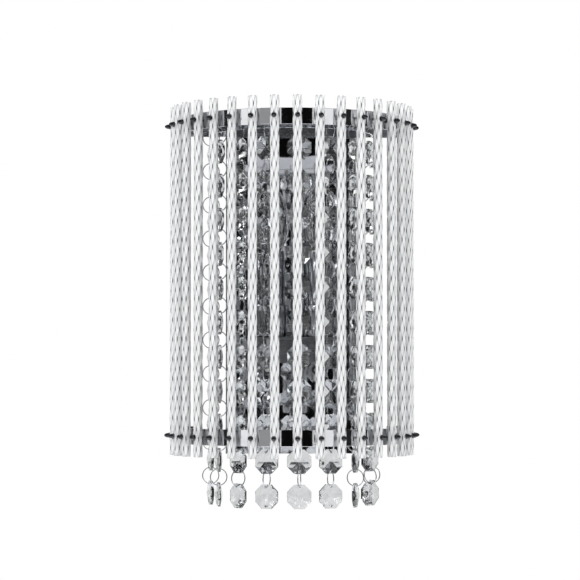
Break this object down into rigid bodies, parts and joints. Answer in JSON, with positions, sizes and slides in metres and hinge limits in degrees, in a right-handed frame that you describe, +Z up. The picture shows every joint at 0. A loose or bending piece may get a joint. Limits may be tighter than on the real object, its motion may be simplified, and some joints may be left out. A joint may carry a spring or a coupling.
{
  "type": "crystal wall sconce",
  "caption": "Half-round wall light with twisted glass rods on polished bands and strands of octagon crystals hanging inside, with candle lamps on a tray-shaped backplate.",
  "frame": {"origin": "on the wall plane, on the middle line, level with the middle of the glass rods", "axes": "+Z up, +Y into the wall, so the light stands out towards -Y, and +X to the right seen from the room"},
  "size_m": [0.2162, 0.1335, 0.3362],
  "materials": {
    "polished_chrome": "mirror polished",
    "plated_steel": "bright zinc plated",
    "holder_plastic": "moulded",
    "sleeve_plastic": "satin grey",
    "bulb_cap_brass": "nickelled",
    "bulb_glass": "clear",
    "lead_sheath": "satin",
    "rod_glass": "clear twisted",
    "crystal": "cut and polished",
    "ring_wire": "bright wire"
  },
  "bodies": {
    "base": {"backplate": "polished_chrome", "wall_bracket": "plated_steel", "bracket_studs": "plated_steel", "cap_nuts": "polished_chrome", "terminal_block": "holder_plastic", "upper_outer_band": "polished_chrome", "upper_inner_band": "polished_chrome", "lower_outer_band": "polished_chrome", "upper_rear_strap": "plated_steel", "lower_rear_strap": "plated_steel", "frame_screws": "plated_steel", "frame_nuts": "plated_steel", "rod_pins": "polished_chrome", "pin_nuts": "polished_chrome", "lamp_bracket": "plated_steel", "lampholder_left": "holder_plastic", "lampholder_right": "holder_plastic", "candle_sleeve_left": "sleeve_plastic", "candle_sleeve_right": "sleeve_plastic", "lead_left": "lead_sheath", "lead_right": "lead_sheath", "rod_01": "rod_glass", "rod_02": "rod_glass", "rod_03": "rod_glass", "rod_04": "rod_glass", "rod_05": "rod_glass", "rod_06": "rod_glass", "rod_07": "rod_glass", "rod_08": "rod_glass", "rod_09": "rod_glass", "rod_10": "rod_glass", "rod_11": "rod_glass", "rod_12": "rod_glass", "rod_13": "rod_glass", "rod_14": "rod_glass", "rod_15": "rod_glass", "rod_16": "rod_glass", "rod_17": "rod_glass"},
    "bulb_left": {"bulb_cap_left": "bulb_cap_brass", "bulb_glass_left": "bulb_glass"},
    "bulb_right": {"bulb_cap_right": "bulb_cap_brass", "bulb_glass_right": "bulb_glass"},
    "strand_1": {"strand_1_crystals": "crystal", "strand_1_rings": "ring_wire"},
    "strand_2": {"strand_2_crystals": "crystal", "strand_2_rings": "ring_wire"},
    "strand_3": {"strand_3_crystals": "crystal", "strand_3_rings": "ring_wire"},
    "strand_4": {"strand_4_crystals": "crystal", "strand_4_rings": "ring_wire"},
    "strand_5": {"strand_5_crystals": "crystal", "strand_5_rings": "ring_wire"},
    "strand_6": {"strand_6_crystals": "crystal", "strand_6_rings": "ring_wire"},
    "strand_7": {"strand_7_crystals": "crystal", "strand_7_rings": "ring_wire"},
    "strand_8": {"strand_8_crystals": "crystal", "strand_8_rings": "ring_wire"},
    "strand_9": {"strand_9_crystals": "crystal", "strand_9_rings": "ring_wire"}
  },
  "joints": [
    {"name": "bulb_left_turn", "type": "hinge", "parent": "base", "child": "bulb_left", "pos_m": [-0.021, -0.055, 0.019], "axis": [0, 0, 1], "range_deg": [0, 1440]},
    {"name": "bulb_right_turn", "type": "hinge", "parent": "base", "child": "bulb_right", "pos_m": [0.021, -0.055, 0.019], "axis": [0, 0, 1], "range_deg": [0, 1440]},
    {"name": "strand_1_swing", "type": "hinge", "parent": "base", "child": "strand_1", "pos_m": [-0.06874, -0.028, 0.12873], "axis": [-0.0436, 0.999, 0], "range_deg": [-1, 3]},
    {"name": "strand_2_swing", "type": "hinge", "parent": "base", "child": "strand_2", "pos_m": [-0.06235, -0.05408, 0.12873], "axis": [-0.4226, 0.9063, 0], "range_deg": [-2, 3]},
    {"name": "strand_3_swing", "type": "hinge", "parent": "base", "child": "strand_3", "pos_m": [-0.04648, -0.07573, 0.12873], "axis": [-0.7373, 0.6756, 0], "range_deg": [-0.5, 3]},
    {"name": "strand_4_swing", "type": "hinge", "parent": "base", "child": "strand_4", "pos_m": [-0.02353, -0.08965, 0.12873], "axis": [-0.9397, 0.342, 0], "range_deg": [-2, 3]},
    {"name": "strand_5_swing", "type": "hinge", "parent": "base", "child": "strand_5", "pos_m": [0.003, -0.09373, 0.12873], "axis": [-0.999, -0.0436, 0], "range_deg": [-2, 3]},
    {"name": "strand_6_swing", "type": "hinge", "parent": "base", "child": "strand_6", "pos_m": [0.02908, -0.08735, 0.12873], "axis": [-0.9063, -0.4226, 0], "range_deg": [-2, 3]},
    {"name": "strand_7_swing", "type": "hinge", "parent": "base", "child": "strand_7", "pos_m": [0.05072, -0.07148, 0.12873], "axis": [-0.6756, -0.7373, 0], "range_deg": [-1, 3]},
    {"name": "strand_8_swing", "type": "hinge", "parent": "base", "child": "strand_8", "pos_m": [0.06465, -0.04853, 0.12873], "axis": [-0.342, -0.9397, 0], "range_deg": [-2, 3]},
    {"name": "strand_9_swing", "type": "hinge", "parent": "base", "child": "strand_9", "pos_m": [0.06874, -0.022, 0.12873], "axis": [0.0436, -0.999, 0], "range_deg": [-1, 3]}
  ]
}
